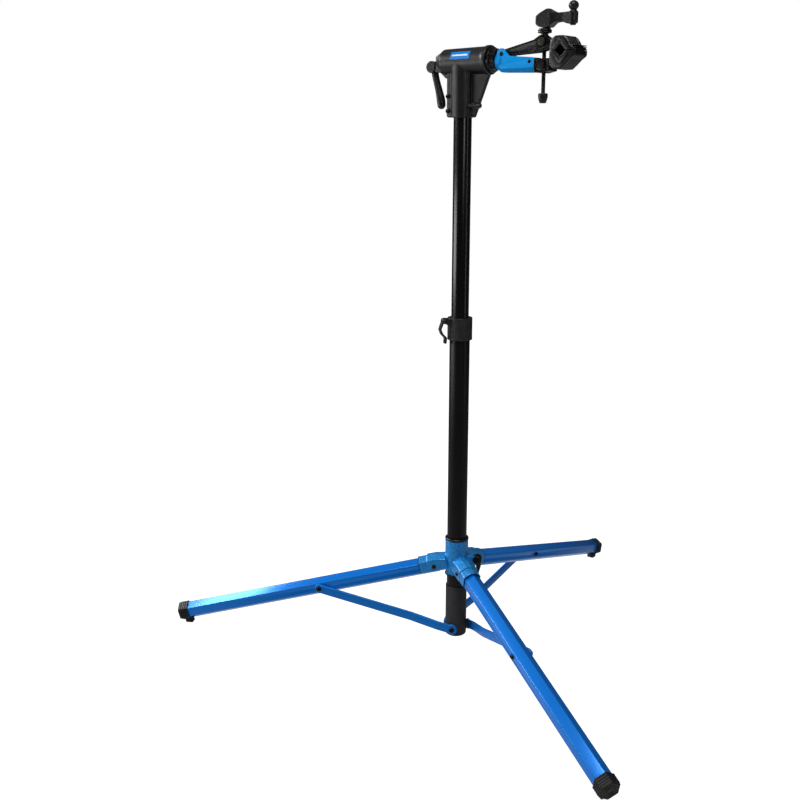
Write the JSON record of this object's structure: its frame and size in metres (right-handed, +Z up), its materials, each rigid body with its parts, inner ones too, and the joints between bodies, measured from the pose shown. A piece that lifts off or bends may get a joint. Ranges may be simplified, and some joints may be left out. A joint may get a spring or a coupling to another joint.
{
  "type": "bicycle repair stand",
  "caption": "Folding tripod repair stand: a telescoping post with a turning clamp head, legs that fold with a sliding hub, and jaws closed by a crank screw.",
  "frame": {"origin": "middle of the bounding box at floor level", "axes": "+Z up; the clamp arm points along +X from the post"},
  "size_m": [1.1924, 1.036, 1.4034],
  "materials": {
    "base_sleeve": "moulded black, fine texture",
    "lower_tube": "satin black",
    "tube_bushing": "plain nylon",
    "height_collar": "moulded black, fine texture",
    "collar_shoe": "plain nylon",
    "collar_lever_pin": "ground",
    "strut_base_bolt_rear": "black oxide",
    "strut_base_bolt_left": "black oxide",
    "strut_base_bolt_right": "black oxide",
    "collar_lever": "moulded black, fine texture",
    "leg_hub": "cast, blue painted",
    "hub_bushing_top": "moulded black, fine texture",
    "hub_bushing_bottom": "moulded black, fine texture",
    "hub_lever_pin": "ground",
    "leg_pivot_bolt_rear": "black oxide",
    "leg_pivot_bolt_left": "black oxide",
    "leg_pivot_bolt_right": "black oxide",
    "hub_lever": "moulded black, fine texture",
    "leg_rear": "satin blue anodised",
    "foot_rear": "ribbed black rubber",
    "leg_strut_bolt_rear": "black oxide",
    "leg_left": "satin blue anodised",
    "foot_left": "ribbed black rubber",
    "leg_strut_bolt_left": "black oxide",
    "leg_right": "satin blue anodised",
    "foot_right": "ribbed black rubber",
    "leg_strut_bolt_right": "black oxide",
    "strut_rear": "satin blue anodised",
    "strut_nut_rear": "black oxide",
    "strut_left": "satin blue anodised",
    "strut_nut_left": "black oxide",
    "strut_right": "satin blue anodised",
    "strut_nut_right": "black oxide",
    "inner_glide": "plain nylon",
    "upper_tube": "satin black",
    "head_casting": "cast, black textured paint",
    "spindle_bushing": "plain nylon",
    "head_lever_pin": "ground",
    "pinch_bolt_upper": "black oxide",
    "pinch_bolt_lower": "black oxide",
    "head_lever": "moulded black, fine texture",
    "head_thumb_screw": "black oxide",
    "spindle": "ground",
    "rotor": "cast, black textured paint",
    "jaw_arm": "blue powder coat",
    "lower_jaw": "cast, black textured paint",
    "lower_jaw_cover": "ribbed black rubber",
    "jaw_pivot_bolt": "black oxide",
    "jaw_fixing_bolt": "black oxide",
    "upper_jaw": "cast, black textured paint",
    "upper_jaw_cover": "ribbed black rubber",
    "trunnion": "black oxide",
    "barrel_nut": "black oxide",
    "thrust_washer": "black oxide",
    "clamp_screw": "black oxide",
    "screw_end_stop": "moulded black, fine texture",
    "cam_pin": "ground",
    "crank_handle": "moulded black, fine texture",
    "knob_pin": "black oxide",
    "crank_knob": "moulded black, fine texture"
  },
  "bodies": {
    "post": {"base_sleeve": "base_sleeve", "lower_tube": "lower_tube", "tube_bushing": "tube_bushing", "height_collar": "height_collar", "collar_shoe": "collar_shoe", "collar_lever_pin": "collar_lever_pin", "strut_base_bolt_rear": "strut_base_bolt_rear", "strut_base_bolt_left": "strut_base_bolt_left", "strut_base_bolt_right": "strut_base_bolt_right"},
    "collar_lever": {"collar_lever": "collar_lever"},
    "hub": {"leg_hub": "leg_hub", "hub_bushing_top": "hub_bushing_top", "hub_bushing_bottom": "hub_bushing_bottom", "hub_lever_pin": "hub_lever_pin", "leg_pivot_bolt_rear": "leg_pivot_bolt_rear", "leg_pivot_bolt_left": "leg_pivot_bolt_left", "leg_pivot_bolt_right": "leg_pivot_bolt_right"},
    "hub_lever": {"hub_lever": "hub_lever"},
    "leg_rear": {"leg_rear": "leg_rear", "foot_rear": "foot_rear", "leg_strut_bolt_rear": "leg_strut_bolt_rear"},
    "leg_left": {"leg_left": "leg_left", "foot_left": "foot_left", "leg_strut_bolt_left": "leg_strut_bolt_left"},
    "leg_right": {"leg_right": "leg_right", "foot_right": "foot_right", "leg_strut_bolt_right": "leg_strut_bolt_right"},
    "strut_rear": {"strut_rear": "strut_rear", "strut_nut_rear": "strut_nut_rear"},
    "strut_left": {"strut_left": "strut_left", "strut_nut_left": "strut_nut_left"},
    "strut_right": {"strut_right": "strut_right", "strut_nut_right": "strut_nut_right"},
    "glide": {"inner_glide": "inner_glide"},
    "mast": {"upper_tube": "upper_tube", "head_casting": "head_casting", "spindle_bushing": "spindle_bushing", "head_lever_pin": "head_lever_pin", "pinch_bolt_upper": "pinch_bolt_upper", "pinch_bolt_lower": "pinch_bolt_lower"},
    "head_lever": {"head_lever": "head_lever"},
    "thumb_screw": {"head_thumb_screw": "head_thumb_screw"},
    "clamp": {"spindle": "spindle", "rotor": "rotor", "jaw_arm": "jaw_arm", "lower_jaw": "lower_jaw", "lower_jaw_cover": "lower_jaw_cover", "jaw_pivot_bolt": "jaw_pivot_bolt", "jaw_fixing_bolt": "jaw_fixing_bolt"},
    "upper_jaw": {"upper_jaw": "upper_jaw", "upper_jaw_cover": "upper_jaw_cover"},
    "trunnion": {"trunnion": "trunnion"},
    "barrel_nut": {"barrel_nut": "barrel_nut"},
    "washer": {"thrust_washer": "thrust_washer"},
    "screw": {"clamp_screw": "clamp_screw", "screw_end_stop": "screw_end_stop", "cam_pin": "cam_pin"},
    "crank": {"crank_handle": "crank_handle", "knob_pin": "knob_pin"},
    "knob": {"crank_knob": "crank_knob"}
  },
  "joints": [
    {"name": "hub_slide", "type": "slide", "parent": "post", "child": "hub", "axis": [0, 0, 1], "range_m": [0, 0.447]},
    {"name": "leg_fold_rear", "type": "hinge", "parent": "hub", "child": "leg_rear", "pos_m": [0, -0.11198, 0.18963], "axis": [-1, 0, 0], "range_deg": [0, 69.31]},
    {"name": "leg_fold_left", "type": "hinge", "parent": "hub", "child": "leg_left", "pos_m": [-0.04339, -0.18713, 0.18963], "axis": [0.5, -0.866, 0], "range_deg": [0, 69.31]},
    {"name": "leg_fold_right", "type": "hinge", "parent": "hub", "child": "leg_right", "pos_m": [0.04339, -0.18713, 0.18963], "axis": [0.5, 0.866, 0], "range_deg": [0, 69.31]},
    {"name": "strut_fold_rear", "type": "hinge", "parent": "post", "child": "strut_rear", "pos_m": [0, -0.15558, 0.0392], "axis": [1, 0, 0], "range_deg": [0, 63.35]},
    {"name": "strut_fold_left", "type": "hinge", "parent": "post", "child": "strut_left", "pos_m": [-0.00563, -0.16533, 0.0392], "axis": [-0.5, 0.866, 0], "range_deg": [0, 63.35]},
    {"name": "strut_fold_right", "type": "hinge", "parent": "post", "child": "strut_right", "pos_m": [0.00563, -0.16533, 0.0392], "axis": [-0.5, -0.866, 0], "range_deg": [0, 63.35]},
    {"name": "collar_lever_flip", "type": "hinge", "parent": "post", "child": "collar_lever", "pos_m": [-0.0184, -0.19395, 0.7625], "axis": [-0.866, 0.5, 0], "range_deg": [0, 100]},
    {"name": "hub_lever_flip", "type": "hinge", "parent": "hub", "child": "hub_lever", "pos_m": [0.04157, -0.13808, 0.206], "axis": [0.5, -0.866, 0], "range_deg": [0, 90]},
    {"name": "height_slide", "type": "slide", "parent": "post", "child": "glide", "axis": [0, 0, 1], "range_m": [-0.4, 0.12]},
    {"name": "mast_swivel", "type": "hinge", "parent": "glide", "child": "mast", "pos_m": [0, -0.16208, 0.5], "axis": [0, 0, 1], "continuous": true},
    {"name": "head_lever_flip", "type": "hinge", "parent": "mast", "child": "head_lever", "pos_m": [-0.0757, -0.16208, 1.2922], "axis": [0, 1, 0], "range_deg": [0, 80]},
    {"name": "thumb_screw_turn", "type": "hinge", "parent": "mast", "child": "thumb_screw", "pos_m": [0.0385, -0.16208, 1.2125], "axis": [0, 1, 0], "continuous": true},
    {"name": "clamp_rotation", "type": "hinge", "parent": "mast", "child": "clamp", "pos_m": [0.08, -0.16208, 1.301], "axis": [1, 0, 0], "continuous": true},
    {"name": "jaw_open", "type": "hinge", "parent": "clamp", "child": "upper_jaw", "pos_m": [0.1022, -0.16208, 1.3106], "axis": [0, -1, 0], "range_deg": [0, 23.5]},
    {"name": "trunnion_tilt", "type": "hinge", "parent": "upper_jaw", "child": "trunnion", "pos_m": [0.1925, -0.16208, 1.3295], "axis": [0, -1, 0], "range_deg": [-12.5, 0]},
    {"name": "nut_tilt", "type": "hinge", "parent": "clamp", "child": "barrel_nut", "pos_m": [0.1925, -0.16208, 1.2869], "axis": [0, -1, 0], "range_deg": [0, 11.1]},
    {"name": "screw_travel", "type": "slide", "parent": "barrel_nut", "child": "washer", "axis": [0, 0, 1], "range_m": [0, 0.0359]},
    {"name": "crank_spin", "type": "hinge", "parent": "washer", "child": "screw", "pos_m": [0.1925, -0.16208, 1.346], "axis": [0, 0, 1], "continuous": true},
    {"name": "cam_flip", "type": "hinge", "parent": "screw", "child": "crank", "pos_m": [0.1925, -0.16208, 1.3758], "axis": [0, -1, 0], "range_deg": [0, 95]},
    {"name": "knob_spin", "type": "hinge", "parent": "crank", "child": "knob", "pos_m": [0.2541, -0.16208, 1.381], "axis": [0, 0, 1], "continuous": true}
  ],
  "couplings": [
    {"joint": "leg_fold_rear", "follows": "hub_slide", "rad_per_m": 2.7044},
    {"joint": "leg_fold_left", "follows": "hub_slide", "rad_per_m": 2.7044},
    {"joint": "leg_fold_right", "follows": "hub_slide", "rad_per_m": 2.7044},
    {"joint": "strut_fold_rear", "follows": "hub_slide", "rad_per_m": 2.4714},
    {"joint": "strut_fold_left", "follows": "hub_slide", "rad_per_m": 2.4714},
    {"joint": "strut_fold_right", "follows": "hub_slide", "rad_per_m": 2.4714},
    {"joint": "trunnion_tilt", "follows": "jaw_open", "ratio": -0.5295},
    {"joint": "nut_tilt", "follows": "jaw_open", "ratio": 0.4705},
    {"joint": "screw_travel", "follows": "jaw_open", "m_per_rad": 0.08729}
  ]
}
